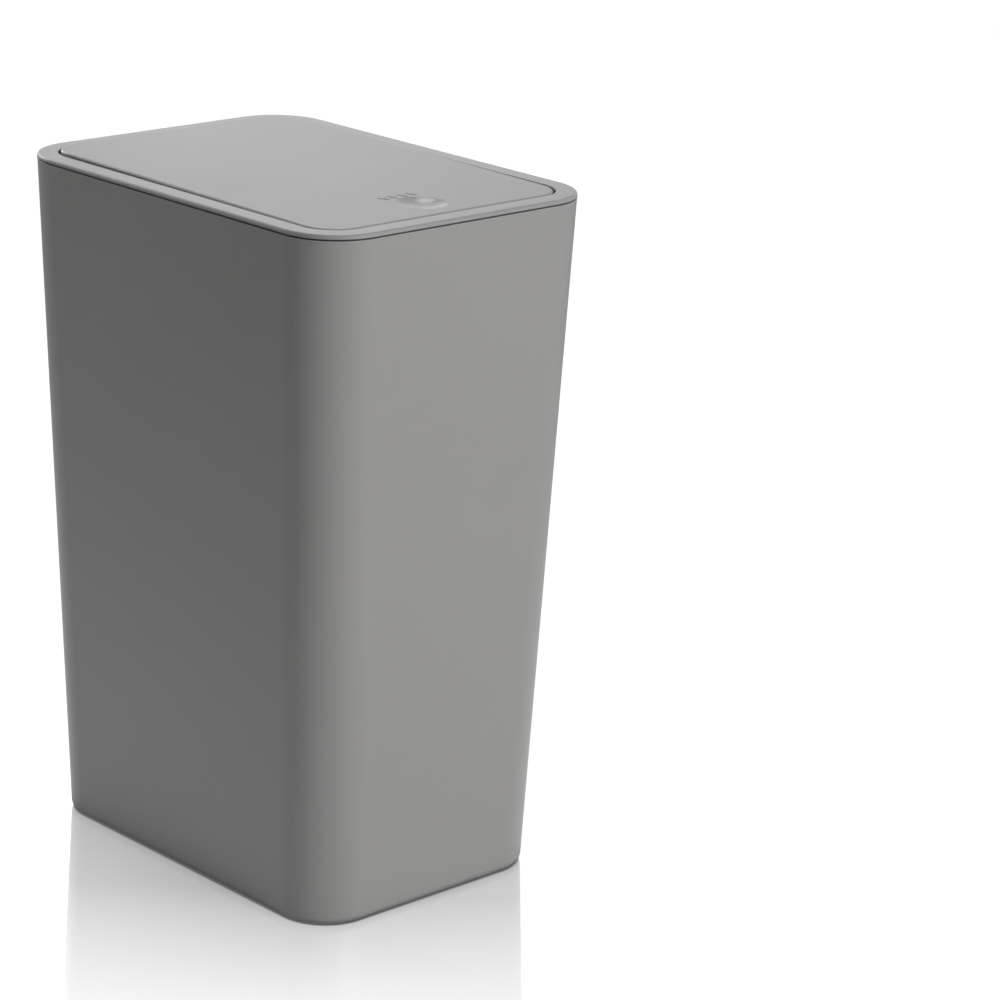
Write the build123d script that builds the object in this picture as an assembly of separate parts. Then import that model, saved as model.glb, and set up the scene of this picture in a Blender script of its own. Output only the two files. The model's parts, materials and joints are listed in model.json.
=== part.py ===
"""Push top countertop bin: a tapered bin body, a lift-off rim frame and a sprung lid on a push latch.

Millimetres.  X is the bin's width, Y its depth, +Z up.  The front, with the finger dish, is at -Y and
the hinge is at +Y.  The origin is the centre of the footprint, on the surface that the bin stands on.
"""
from build123d import *
import os
from math import cos, radians, sin, sqrt

# ---------------------------------------------------------------- driving dimensions
# Outside
HEIGHT = 310.0          # surface to the top of the rim
SEAM_Z = 307.85         # middle of the seam between body and rim
BASE_W, BASE_D, BASE_R = 133.0, 193.5, 24.1     # outline at the surface
TOP_W, TOP_D, TOP_R = 155.3, 212.7, 25.65       # the body's outline at the seam
WALL = 2.0
SEAM_GAP = 0.7          # shadow gap between body and rim
SEAM_DEPTH = 1.4        # how far the shadow gap runs in

# Body base
FOOT_GAP = 0.6          # the pads hold the body this far off the surface
BASE_EDGE_R = 3.0
BODY_TOP_EDGE_R = 0.25
FLOOR_LOW, FLOOR_TOP = 1.8, 4.0
FOOT_RING_W = 13.0
INNER_EDGE_R = 4.0
PAD_R = 4.5
PAD_H = 1.6
PAD_INSET = 7.8         # from the outline to the pad's centre
PAD_EDGE = 0.3

# Rim frame
RIM_W = 9.25            # the body's outline to the lid opening
RIM_PROUD = 0.15        # the rim stands out from the body by this much
RIM_DRAFT = 0.3         # the rim's outer face leans in by this much towards the top
RIM_EDGE_R = 1.3
RIM_INNER_EDGE_R = 0.4
SKIRT_CLEAR = 0.5       # skirt to the inside of the body
SKIRT_T = 1.8
SKIRT_Z = 287.2         # lower edge of the skirt
LIP_T = 1.6             # wall that hangs down round the lid opening
LEDGE_LOW, LEDGE_TOP = 295.7, 297.5
LEDGE_W = 4.0
WEB_T = 1.2             # stiffening webs between lip and skirt
WEB_LOW, WEB_TOP = 297.2, 308.0
WEB_INSET = 3.0         # from the rim's outer edge to the end of a web
SIDE_WEB_Y = (-60, -20, 20, 60)
FRONT_WEB_X = (-40, 0, 40)

# Lid
LID_GAP = 1.1
LID_T = 2.2
LID_EDGE_R = 1.2
LID_TILT = 0.45         # degrees that the closed lid rises from its front edge to its hinge end
LID_SKIRT_T = 1.6
LID_SKIRT_Z = 302.0
LID_REAR_SKIRT_Z = 306.0
LID_SKIRT_CUT = 2.0     # the skirt is shallow from this far in front of the hinge axis
DISH_Y = -77.0
DISH_R = 11.0
DISH_DEPTH = 2.5
RIB_T, RIB_Z = 1.2, 305.8
LONG_RIB_X = (-28, 28)
LONG_RIB_Y = (-60, 68)
CROSS_RIB_Y = (-60, -20, 20, 60)
BOSS_HALF_W = 16.0      # pad under the dish that carries the striker
BOSS_FRONT = 6.0        # from the latch's middle to the front of that pad
BOSS_R = 3.0

# Hinge, on the lid as drawn level with the rim
HINGE_INSET = 14.0      # lid's rear edge to the hinge axis
HINGE_DROP = 5.5        # lid's top to the hinge axis
PIN_R = 1.25
PIN_CLEAR = 0.08
KNUCKLE_R = 2.9
KNUCKLES = ((36.5, 40.5), (51.5, 55.5))     # spans along X, on each side
EARS = ((33.0, 36.2), (55.8, 59.0))
EAR_BLIND = 1.0         # skin that closes the outer ear's hole
PIN_HEAD_R, PIN_HEAD_T = 2.2, 1.2
PIN_HEAD_EDGE_R = 0.5
TROUGH_Y = 72.2         # front face of the trough that the lid's rear edge swings into
TROUGH_T = 1.8
TROUGH_WALL_TOP = 301.0
LIP_REAR_Z = 302.0      # the lip stops here above the trough
STOP_X = (14.0, 20.0)   # stops that the open lid rests against
STOP_Y = (85.2, 92.0)
STOP_TOP = 292.1

# Hinge spring
SPRING_WIRE = 1.0
SPRING_INNER_R = 1.7
SPRING_X = 41.3
SPRING_TURNS = 9
SPRING_ARM = 13.0
SPRING_FIXED_ANGLE = 25.0   # of the fixed arm, from straight down
SPRING_FIXED_SHORT = 0.3    # the fixed arm is this much shorter
SPRING_ARM_SLIM = 0.02      # an arm's radius is this much under the coil's wire
SEAT_Y = (68.8, 73.0)
SEAT_HALF_W = 1.5
SEAT_DROP = 0.35

# Latch
LATCH_Y = -86.0
TONGUE_HALF_W = 22.0
TONGUE_REAR_Y = -76.0
TONGUE_CORNER_R = 4.0
LATCH_HOLE = (14.0, 7.0)
STRIKER_T = 3.0
STRIKER_BASE = (30.0, 10.0, 2.0)
STRIKER_BASE_TOP = 304.5
STRIKER_BASE_R = 2.0
STRIKER_NECK_HALF = 3.0
STRIKER_HEAD_HALF = 5.0
STRIKER_SHOULDER_Z = 289.5
STRIKER_SHOULDER_T = 1.2
STRIKER_TIP_Z = 284.5
STRIKER_TIP_HALF = 1.5
BOX_HALF_W, BOX_HALF_D = 13.0, 8.0
BOX_LOW = 262.0
BOX_T = 1.5
COVER_EDGE = 0.5
FLANGE_OUT = 21.0
FLANGE_HALF_D = 4.0
FLANGE_LOW = 289.7
JAW_X, JAW_Z = 8.0, 274.0
JAW_PIN_R = 1.0
JAW_PIN_CLEAR = 0.06
JAW_BOSS_R = 2.2
JAW_HALF_T = 3.0
JAW_ARM_IN, JAW_ARM_OUT = 7.4, 9.6
JAW_HOOK_TIP = 5.6
JAW_HOOK_LOW, JAW_HOOK_TOP = 290.2, 292.0
JAW_HOOK_NOSE = 0.8
JAW_TAIL_TIP = 3.8
JAW_TAIL_HALF_T = 0.8
PLUNGER_HALF_W, PLUNGER_HALF_D = 5.0, 4.5
PLUNGER_LOW, PLUNGER_TOP = 266.3, 281.0
PLUNGER_EDGE_R = 0.6
PLUNGER_SLOT = (272.8, 277.3)
PLUNGER_SLOT_DEPTH = 1.6
PLUNGER_BORE_R = 3.4
PLUNGER_BORE_TOP = 271.8
COIL_R, COIL_WIRE = 2.9, 0.7
CAM_WIRE_R = 0.45
CAM_WIRE_Y = -91.6
CAM_WIRE_Z = (265.5, 272.0)
CAM_WIRE_IN_WALL = 0.4  # from the housing's outer face to the wire's end
CAM_WIRE_IN_TRACK = 0.9
CAM_TRACK = (6.0, 1.4)
CAM_TRACK_Z = (268.8, 279.5)
CAM_HEART = ((0, 275.4), (1.6, 277.0), (0.9, 278.2), (0, 277.5), (-0.9, 278.2), (-1.6, 277.0))

# Screws, and the buffers under the lid
SCREW_HEAD_R, SCREW_HEAD_H = 2.6, 1.8
SCREW_CROWN_R = 0.8
CROSS_DEPTH = 1.0
CROSS_HALF_L, CROSS_HALF_W = 1.6, 0.3
SCREW_SHANK_R = 1.2
SCREW_CLEAR_R = 1.6
LATCH_SCREW_X, LATCH_SCREW_L = 17.0, 6.5
STRIKER_SCREW_X, STRIKER_SCREW_L = 11.0, 6.0
BUFFER = (8.0, 3.0, 1.8)
BUFFER_X, BUFFER_Y = 50.0, -95.1
BUFFER_EDGE_R = 0.5

# ---------------------------------------------------------------- derived sizes
BODY_TOP = SEAM_Z - SEAM_GAP / 2
FLANGE_UNDER = SEAM_Z + SEAM_GAP / 2
OPEN_W, OPEN_D, OPEN_R = TOP_W - 2 * RIM_W, TOP_D - 2 * RIM_W, TOP_R - RIM_W
LID_W, LID_D, LID_R = OPEN_W - 2 * LID_GAP, OPEN_D - 2 * LID_GAP, OPEN_R - LID_GAP
LID_UNDER = HEIGHT - LID_T
HINGE_Y = LID_D / 2 - HINGE_INSET
HINGE_Z = HEIGHT - HINGE_DROP
HINGE_REACH = HINGE_Y + LID_D / 2       # front edge of the lid to the hinge axis
AXLE_Y = HINGE_REACH * cos(radians(LID_TILT)) + HINGE_DROP * sin(radians(LID_TILT)) - LID_D / 2
AXLE_Z = HEIGHT + HINGE_REACH * sin(radians(LID_TILT)) - HINGE_DROP * cos(radians(LID_TILT))
TROUGH_FLOOR = SKIRT_Z + TROUGH_T
FAR = 400.0             # longer than the bin, for cutting boxes
OVER = 1.0              # how far a cutter runs past the face it cuts


# ---------------------------------------------------------------- shared shapes
def outline(z, inset=0.0):
    """Width, depth and corner radius of the outer wall at height z, moved in by inset."""
    k = z / SEAM_Z
    width = BASE_W + (TOP_W - BASE_W) * k - 2 * inset
    depth = BASE_D + (TOP_D - BASE_D) * k - 2 * inset
    radius = BASE_R + (TOP_R - BASE_R) * k - inset
    return width, depth, radius


def tapered(z0, z1, inset=0.0):
    """Solid that follows the tapered wall from z0 to z1."""
    ends = [Plane.XY.offset(z) * RectangleRounded(*outline(z, inset)) for z in (z0, z1)]
    return loft(ends, ruled=True)


def slab(width, depth, radius, z0, z1):
    """Upright rounded slab, centred on the origin."""
    return Plane.XY.offset(z0) * extrude(RectangleRounded(width, depth, radius), z1 - z0)


def block(x0, x1, y0, y1, z0, z1):
    """Box between two corners."""
    centre = Location(((x0 + x1) / 2, (y0 + y1) / 2, (z0 + z1) / 2))
    return centre * Box(abs(x1 - x0), abs(y1 - y0), abs(z1 - z0))


def rod_x(radius, x0, x1, y, z):
    """Cylinder along X."""
    return Location(((x0 + x1) / 2, y, z), (0, 90, 0)) * Cylinder(radius, abs(x1 - x0))


def rod_y(radius, y0, y1, x, z):
    """Cylinder along Y."""
    return Location((x, (y0 + y1) / 2, z), (90, 0, 0)) * Cylinder(radius, abs(y1 - y0))


def rod_z(radius, z0, z1, x, y):
    """Cylinder along Z."""
    return Location((x, y, (z0 + z1) / 2)) * Cylinder(radius, abs(z1 - z0))


def plate_xz(points, y0, y1):
    """Prism whose outline is a polygon in X and Z, from y0 to y1."""
    face = make_face(Polyline(*[(x, y1, z) for x, z in points], close=True))
    return extrude(face, y1 - y0, dir=(0, -1, 0))


def added(shapes):
    """One shape from several."""
    total = shapes[0]
    for shape in shapes[1:]:
        total += shape
    return total


def mirrored(shape):
    """The same shape on the other side of the bin's centre plane."""
    return mirror(shape, about=Plane.YZ)


def seated(shape):
    """A shape drawn level with the rim, tilted with the closed lid about its front edge."""
    return shape.rotate(Axis((0, -LID_D / 2, HEIGHT), (1, 0, 0)), LID_TILT)


def edges_at(shape, z):
    """Horizontal edges of a shape at height z."""
    return shape.edges().filter_by_position(Axis.Z, z - 0.01, z + 0.01)


def pan_screw(x, y, head_base, length, up):
    """Pan head screw on a vertical axis; the head stands on head_base, on the up or down side."""
    side = 1 if up else -1
    head = rod_z(SCREW_HEAD_R, head_base, head_base + side * SCREW_HEAD_H, x, y)
    crown = head_base + side * SCREW_HEAD_H
    head = fillet(edges_at(head, crown), SCREW_CROWN_R)
    shank = rod_z(SCREW_SHANK_R, head_base, head_base - side * length, x, y)
    ends = (crown - side * CROSS_DEPTH, crown + side * OVER)
    cross = block(x - CROSS_HALF_L, x + CROSS_HALF_L, y - CROSS_HALF_W, y + CROSS_HALF_W, *ends)
    cross += block(x - CROSS_HALF_W, x + CROSS_HALF_W, y - CROSS_HALF_L, y + CROSS_HALF_L, *ends)
    return head + shank - cross


# ---------------------------------------------------------------- bin body and its pads
def pad_places():
    """Centres of the four pads, on the diagonals of the corner arcs."""
    width, depth, radius = outline(0)
    along = (radius - PAD_INSET) / sqrt(2)
    x = width / 2 - radius + along
    y = depth / 2 - radius + along
    return {"front_left": (-x, -y), "front_right": (x, -y), "rear_left": (-x, y), "rear_right": (x, y)}


def bin_body():
    shell = tapered(FOOT_GAP, BODY_TOP)
    shell = fillet(edges_at(shell, FOOT_GAP), BASE_EDGE_R)
    inside = tapered(FLOOR_TOP, HEIGHT, WALL)
    inside = fillet(edges_at(inside, FLOOR_TOP), INNER_EDGE_R)
    width, depth, radius = outline(0, FOOT_RING_W)
    shell = shell - inside - slab(width, depth, radius, 0, FLOOR_LOW)
    for x, y in pad_places().values():
        shell -= rod_z(PAD_R, FOOT_GAP, PAD_H, x, y)
    return fillet(edges_at(shell, BODY_TOP), BODY_TOP_EDGE_R)


def foot_pad(x, y):
    pad = rod_z(PAD_R, 0, PAD_H, x, y)
    return chamfer(edges_at(pad, 0), PAD_EDGE)


# ---------------------------------------------------------------- rim frame
def rim_ring():
    """Flange, skirt and the lip and ledge round the lid opening."""
    opening = slab(OPEN_W, OPEN_D, OPEN_R, SKIRT_Z - OVER, HEIGHT + OVER)
    low = Plane.XY.offset(FLANGE_UNDER) * RectangleRounded(*outline(SEAM_Z, -RIM_PROUD))
    high = Plane.XY.offset(HEIGHT) * RectangleRounded(*outline(SEAM_Z, RIM_DRAFT - RIM_PROUD))
    flange = loft([low, high], ruled=True)
    flange = fillet(edges_at(flange, HEIGHT), RIM_EDGE_R)
    land_w, land_d, land_r = outline(SEAM_Z, SEAM_DEPTH)
    flange += slab(land_w, land_d, land_r, BODY_TOP, FLANGE_UNDER)
    flange -= opening
    flange = fillet(edges_at(flange, HEIGHT).group_by(SortBy.DISTANCE)[0], RIM_INNER_EDGE_R)

    skirt = tapered(SKIRT_Z, BODY_TOP, WALL + SKIRT_CLEAR)
    skirt -= tapered(SKIRT_Z, BODY_TOP, WALL + SKIRT_CLEAR + SKIRT_T)

    lip_outline = (OPEN_W + 2 * LIP_T, OPEN_D + 2 * LIP_T, OPEN_R + LIP_T)
    lip = slab(*lip_outline, LEDGE_LOW, BODY_TOP) - opening
    ledge = slab(*lip_outline, LEDGE_LOW, LEDGE_TOP)
    ledge -= slab(OPEN_W - 2 * LEDGE_W, OPEN_D - 2 * LEDGE_W, OPEN_R - LEDGE_W, LEDGE_LOW - OVER, HEIGHT)
    above_trough = block(-FAR, FAR, TROUGH_Y + TROUGH_T, FAR, SKIRT_Z - OVER, LIP_REAR_Z)
    return flange + skirt + (lip + ledge - above_trough)


def rim_webs():
    """Stiffening webs across the channel between lip and skirt."""
    channel = slab(OPEN_W + LIP_T, OPEN_D + LIP_T, OPEN_R + LIP_T / 2, SKIRT_Z, HEIGHT)
    end_x, end_y = TOP_W / 2 - WEB_INSET, TOP_D / 2 - WEB_INSET
    bars = [block(-end_x, end_x, y - WEB_T / 2, y + WEB_T / 2, WEB_LOW, WEB_TOP) for y in SIDE_WEB_Y]
    bars += [block(x - WEB_T / 2, x + WEB_T / 2, -end_y, 0, WEB_LOW, WEB_TOP) for x in FRONT_WEB_X]
    skirt_side = tapered(WEB_LOW, WEB_TOP, WALL + SKIRT_CLEAR + SKIRT_T / 2)
    return (added(bars) & skirt_side) - channel


def hinge_trough():
    """Trough that the lid's rear edge swings into, with the ears for the pins and the lid's stops."""
    floor = block(-FAR, FAR, TROUGH_Y, FAR, SKIRT_Z, TROUGH_FLOOR)
    wall = block(-FAR, FAR, TROUGH_Y, TROUGH_Y + TROUGH_T, SKIRT_Z, TROUGH_WALL_TOP)
    reach = tapered(SKIRT_Z, BODY_TOP, WALL + SKIRT_CLEAR + SKIRT_T / 2)
    trough = (floor + wall) & reach
    for x0, x1 in EARS:
        ear = block(x0, x1, TROUGH_Y + TROUGH_T / 2, AXLE_Y + KNUCKLE_R, SKIRT_Z + TROUGH_T / 2, AXLE_Z)
        ear -= block(x0, x1, TROUGH_Y, AXLE_Y - KNUCKLE_R, TROUGH_WALL_TOP, AXLE_Z)
        ear += rod_x(KNUCKLE_R, x0, x1, AXLE_Y, AXLE_Z)
        trough += ear + mirrored(ear)
    hole = rod_x(PIN_R, EARS[0][0] - OVER, EARS[1][1] - EAR_BLIND, AXLE_Y, AXLE_Z)
    trough -= hole + mirrored(hole)
    stop = block(*STOP_X, *STOP_Y, SKIRT_Z + TROUGH_T / 2, STOP_TOP)
    return trough + stop + mirrored(stop)


def latch_tongue():
    """Shelf at the front that carries the latch."""
    hole_w, hole_d = LATCH_HOLE
    front_y = -OPEN_D / 2 - LIP_T / 2
    tongue = block(-TONGUE_HALF_W, TONGUE_HALF_W, front_y, TONGUE_REAR_Y, LEDGE_LOW, LEDGE_TOP)
    rear_corners = tongue.edges().filter_by(Axis.Z).group_by(Axis.Y)[-1]
    tongue = fillet(rear_corners, TONGUE_CORNER_R)
    hole_y = (LATCH_Y - hole_d / 2, LATCH_Y + hole_d / 2)
    tongue -= block(-hole_w / 2, hole_w / 2, *hole_y, LEDGE_LOW, LEDGE_TOP)
    for x in (-LATCH_SCREW_X, LATCH_SCREW_X):
        tongue -= rod_z(SCREW_CLEAR_R, LEDGE_LOW, LEDGE_TOP, x, LATCH_Y)
    return tongue


def rim_frame():
    return rim_ring() + rim_webs() + hinge_trough() + latch_tongue()


# ---------------------------------------------------------------- lid
def lid_plate():
    plate = slab(LID_W, LID_D, LID_R, LID_UNDER, HEIGHT)
    plate = fillet(edges_at(plate, HEIGHT), LID_EDGE_R)
    inside = (LID_W - 2 * LID_SKIRT_T, LID_D - 2 * LID_SKIRT_T, LID_R - LID_SKIRT_T)
    skirt = slab(LID_W, LID_D, LID_R, LID_SKIRT_Z, LID_UNDER)
    skirt -= slab(*inside, LID_SKIRT_Z - OVER, HEIGHT)
    skirt -= block(-FAR, FAR, HINGE_Y - LID_SKIRT_CUT, FAR, LID_SKIRT_Z - OVER, LID_REAR_SKIRT_Z)
    return plate + skirt


def lid_ribs():
    """Shallow ribs that keep the lid flat."""
    reach = LID_W / 2 - LID_SKIRT_T
    ribs = [block(x - RIB_T / 2, x + RIB_T / 2, *LONG_RIB_Y, RIB_Z, LID_UNDER) for x in LONG_RIB_X]
    ribs += [block(-reach, reach, y - RIB_T / 2, y + RIB_T / 2, RIB_Z, LID_UNDER) for y in CROSS_RIB_Y]
    return added(ribs)


def lid_knuckles():
    knuckles = []
    for x0, x1 in KNUCKLES:
        knuckle = rod_x(KNUCKLE_R, x0, x1, HINGE_Y, HINGE_Z)
        knuckle += block(x0, x1, HINGE_Y - KNUCKLE_R, HINGE_Y + KNUCKLE_R, HINGE_Z, LID_UNDER)
        knuckles.append(knuckle - rod_x(PIN_R + PIN_CLEAR, x0, x1, HINGE_Y, HINGE_Z))
    seat_x = SPRING_X + (SPRING_TURNS - 0.5) * SPRING_WIRE
    seat = block(seat_x - SEAT_HALF_W, seat_x + SEAT_HALF_W, *SEAT_Y, LID_UNDER - SEAT_DROP, LID_UNDER)
    one_side = added(knuckles) + seat
    return one_side + mirrored(one_side)


def dish_cutter():
    """Ball whose cap is the finger dish."""
    ball_r = (DISH_R**2 + DISH_DEPTH**2) / (2 * DISH_DEPTH)
    return Location((0, DISH_Y, HEIGHT - DISH_DEPTH + ball_r)) * Sphere(ball_r)


def lid_panel():
    lid = lid_plate() + lid_ribs() + lid_knuckles()
    boss_y = (LATCH_Y - BOSS_FRONT, DISH_Y + DISH_R + OVER)
    boss = block(-BOSS_HALF_W, BOSS_HALF_W, *boss_y, STRIKER_BASE_TOP, LID_UNDER)
    lid += fillet(boss.edges().filter_by(Axis.Z), BOSS_R)
    lid -= dish_cutter()
    for x in (-STRIKER_SCREW_X, STRIKER_SCREW_X):
        depth = STRIKER_SCREW_L - STRIKER_BASE[2]
        lid -= rod_z(SCREW_SHANK_R, STRIKER_BASE_TOP, STRIKER_BASE_TOP + depth, x, LATCH_Y)
    return lid


# ---------------------------------------------------------------- hinge hardware
def hinge_pin():
    """Headed steel pin, pressed into the blind outer ear; right-hand side."""
    start = EARS[0][0]
    shaft = rod_x(PIN_R, start, EARS[1][1] - EAR_BLIND, HINGE_Y, HINGE_Z)
    head = rod_x(PIN_HEAD_R, start - PIN_HEAD_T, start, HINGE_Y, HINGE_Z)
    outer_edge = head.edges().group_by(Axis.X)[0]
    return fillet(outer_edge, PIN_HEAD_EDGE_R) + shaft


def hinge_spring():
    """Close-wound torsion spring with two arms; right-hand side."""
    outer_r = SPRING_INNER_R + SPRING_WIRE
    end_x = SPRING_X + SPRING_TURNS * SPRING_WIRE
    groove = 0.25 * SPRING_WIRE
    coil = rod_x(outer_r, SPRING_X, end_x, HINGE_Y, HINGE_Z)
    for turn in range(1, SPRING_TURNS):
        place = Location((SPRING_X + turn * SPRING_WIRE, HINGE_Y, HINGE_Z), (0, 90, 0))
        coil -= place * Torus(outer_r + groove / 2, groove)
    coil -= rod_x(SPRING_INNER_R, SPRING_X, end_x, HINGE_Y, HINGE_Z)

    mean_r = SPRING_INNER_R + SPRING_WIRE / 2
    lean = radians(SPRING_FIXED_ANGLE)
    fixed_x = SPRING_X + SPRING_WIRE / 2
    fixed_start = Vector(fixed_x, HINGE_Y - mean_r * cos(lean), HINGE_Z + mean_r * sin(lean))
    fixed_end = fixed_start + Vector(0, -sin(lean), -cos(lean)) * (SPRING_ARM - SPRING_FIXED_SHORT)
    moving_x = end_x - SPRING_WIRE / 2
    moving_start = Vector(moving_x, HINGE_Y, HINGE_Z + mean_r)
    moving_end = moving_start + Vector(0, -SPRING_ARM, 0)
    for start, end in ((fixed_start, fixed_end), (moving_start, moving_end)):
        path = Line(start, end)
        profile = Plane(origin=start, z_dir=end - start) * Circle(SPRING_WIRE / 2 - SPRING_ARM_SLIM)
        coil += sweep(profile, path)
    return coil


# ---------------------------------------------------------------- striker and latch
def lid_striker():
    base_w, base_d, base_t = STRIKER_BASE
    base_low = STRIKER_BASE_TOP - base_t
    base_y = (LATCH_Y - base_d / 2, LATCH_Y + base_d / 2)
    base = block(-base_w / 2, base_w / 2, *base_y, base_low, STRIKER_BASE_TOP)
    base = fillet(base.edges().filter_by(Axis.Z), STRIKER_BASE_R)
    half = [
        (STRIKER_NECK_HALF, base_low),
        (STRIKER_NECK_HALF, STRIKER_SHOULDER_Z),
        (STRIKER_HEAD_HALF, STRIKER_SHOULDER_Z),
        (STRIKER_HEAD_HALF, STRIKER_SHOULDER_Z - STRIKER_SHOULDER_T),
        (STRIKER_TIP_HALF, STRIKER_TIP_Z),
    ]
    arrow = half + [(-x, z) for x, z in reversed(half)]
    striker = base + plate_xz(arrow, LATCH_Y - STRIKER_T / 2, LATCH_Y + STRIKER_T / 2)
    for x in (-STRIKER_SCREW_X, STRIKER_SCREW_X):
        striker -= rod_z(SCREW_CLEAR_R, base_low, STRIKER_BASE_TOP, x, LATCH_Y)
    return striker


def latch_box():
    """Outer block of the latch, before it is parted into housing and cover."""
    return block(-BOX_HALF_W, BOX_HALF_W, LATCH_Y - BOX_HALF_D, LATCH_Y + BOX_HALF_D, BOX_LOW, LEDGE_LOW)


def latch_housing():
    cavity = block(
        BOX_T - BOX_HALF_W, BOX_HALF_W - BOX_T, LATCH_Y - BOX_HALF_D + BOX_T, LATCH_Y + BOX_HALF_D + OVER,
        BOX_LOW + BOX_T, LEDGE_LOW + OVER,
    )
    housing = latch_box() - cavity
    for side in (-1, 1):
        flange = block(
            side * BOX_HALF_W, side * FLANGE_OUT, LATCH_Y - FLANGE_HALF_D, LATCH_Y + FLANGE_HALF_D,
            FLANGE_LOW, LEDGE_LOW,
        )
        flange -= rod_z(SCREW_SHANK_R, FLANGE_LOW, LEDGE_LOW, side * LATCH_SCREW_X, LATCH_Y)
        housing += flange
        housing -= rod_y(JAW_PIN_R, LATCH_Y - BOX_HALF_D, LATCH_Y, side * JAW_X, JAW_Z)
    housing -= rod_y(CAM_WIRE_R, LATCH_Y - BOX_HALF_D, LATCH_Y, 0, CAM_WIRE_Z[0])
    return housing


def latch_cover():
    """Plate that closes the latch on the side of the bin's middle."""
    face_y = LATCH_Y + BOX_HALF_D
    cover = block(-BOX_HALF_W, BOX_HALF_W, face_y, face_y + BOX_T, BOX_LOW, LEDGE_LOW)
    for side in (-1, 1):
        cover -= rod_y(JAW_PIN_R, face_y, face_y + BOX_T, side * JAW_X, JAW_Z)
    return chamfer(cover.edges().filter_by(Axis.Y), COVER_EDGE)


def latch_plunger():
    plunger = block(
        -PLUNGER_HALF_W, PLUNGER_HALF_W, LATCH_Y - PLUNGER_HALF_D, LATCH_Y + PLUNGER_HALF_D,
        PLUNGER_LOW, PLUNGER_TOP,
    )
    plunger = fillet(edges_at(plunger, PLUNGER_TOP), PLUNGER_EDGE_R)
    for side in (-1, 1):
        depth = side * (PLUNGER_HALF_W - PLUNGER_SLOT_DEPTH)
        plunger -= block(depth, side * FAR, LATCH_Y - FAR, LATCH_Y + FAR, *PLUNGER_SLOT)
    plunger -= rod_z(PLUNGER_BORE_R, PLUNGER_LOW, PLUNGER_BORE_TOP, 0, LATCH_Y)
    track_w, track_d = CAM_TRACK
    track_y = (LATCH_Y - PLUNGER_HALF_D, LATCH_Y - PLUNGER_HALF_D + track_d)
    track = block(-track_w / 2, track_w / 2, *track_y, *CAM_TRACK_Z)
    return plunger - (track - plate_xz(CAM_HEART, *track_y))


def latch_spring():
    """Compression spring under the plunger, as the sleeve that its coil fills."""
    low = BOX_LOW + BOX_T
    sleeve = rod_z(COIL_R, low, PLUNGER_BORE_TOP, 0, LATCH_Y)
    return sleeve - rod_z(COIL_R - COIL_WIRE, low, PLUNGER_BORE_TOP, 0, LATCH_Y)


def latch_cam_wire():
    """Bent wire: one end in the housing wall, the other in the plunger's heart-shaped track."""
    low, high = CAM_WIRE_Z
    wall_y = LATCH_Y - BOX_HALF_D + CAM_WIRE_IN_WALL
    tip_y = LATCH_Y - PLUNGER_HALF_D + CAM_WIRE_IN_TRACK
    wire = rod_z(CAM_WIRE_R, low, high, 0, CAM_WIRE_Y)
    wire += rod_y(CAM_WIRE_R, wall_y, CAM_WIRE_Y, 0, low) + rod_y(CAM_WIRE_R, CAM_WIRE_Y, tip_y, 0, high)
    for z in (low, high):
        wire += Location((0, CAM_WIRE_Y, z)) * Sphere(CAM_WIRE_R)
    return wire


def latch_jaw():
    """Hooked lever on the right-hand side, drawn swung clear of the striker."""
    y0, y1 = LATCH_Y - JAW_HALF_T, LATCH_Y + JAW_HALF_T
    arm = plate_xz(
        [
            (JAW_ARM_IN, JAW_Z),
            (JAW_ARM_IN, JAW_HOOK_LOW),
            (JAW_HOOK_TIP, JAW_HOOK_LOW),
            (JAW_HOOK_TIP, JAW_HOOK_LOW + JAW_HOOK_NOSE),
            (JAW_ARM_IN, JAW_HOOK_TOP),
            (JAW_ARM_OUT, JAW_HOOK_TOP),
            (JAW_ARM_OUT, JAW_Z),
        ],
        y0, y1,
    )
    tail = block(JAW_TAIL_TIP, JAW_X, y0, y1, JAW_Z - JAW_TAIL_HALF_T, JAW_Z + JAW_TAIL_HALF_T)
    jaw = arm + tail + rod_y(JAW_BOSS_R, y0, y1, JAW_X, JAW_Z)
    return jaw - rod_y(JAW_PIN_R + JAW_PIN_CLEAR, y0, y1, JAW_X, JAW_Z)


def latch_jaw_pins():
    y0, y1 = LATCH_Y - BOX_HALF_D, LATCH_Y + BOX_HALF_D + BOX_T
    return [rod_y(JAW_PIN_R, y0, y1, side * JAW_X, JAW_Z) for side in (-1, 1)]


def latch_screws():
    return [pan_screw(side * LATCH_SCREW_X, LATCH_Y, LEDGE_TOP, LATCH_SCREW_L, True) for side in (-1, 1)]


def striker_screws():
    base_low = STRIKER_BASE_TOP - STRIKER_BASE[2]
    return [pan_screw(side * STRIKER_SCREW_X, LATCH_Y, base_low, STRIKER_SCREW_L, False) for side in (-1, 1)]


def lid_buffer(side):
    """Soft pad on the front ledge, below the lid's skirt."""
    width, depth, height = BUFFER
    x = side * BUFFER_X
    top = LEDGE_TOP + height
    pad = block(x - width / 2, x + width / 2, BUFFER_Y - depth / 2, BUFFER_Y + depth / 2, LEDGE_TOP, top)
    return fillet(edges_at(pad, top), BUFFER_EDGE_R)


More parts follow.
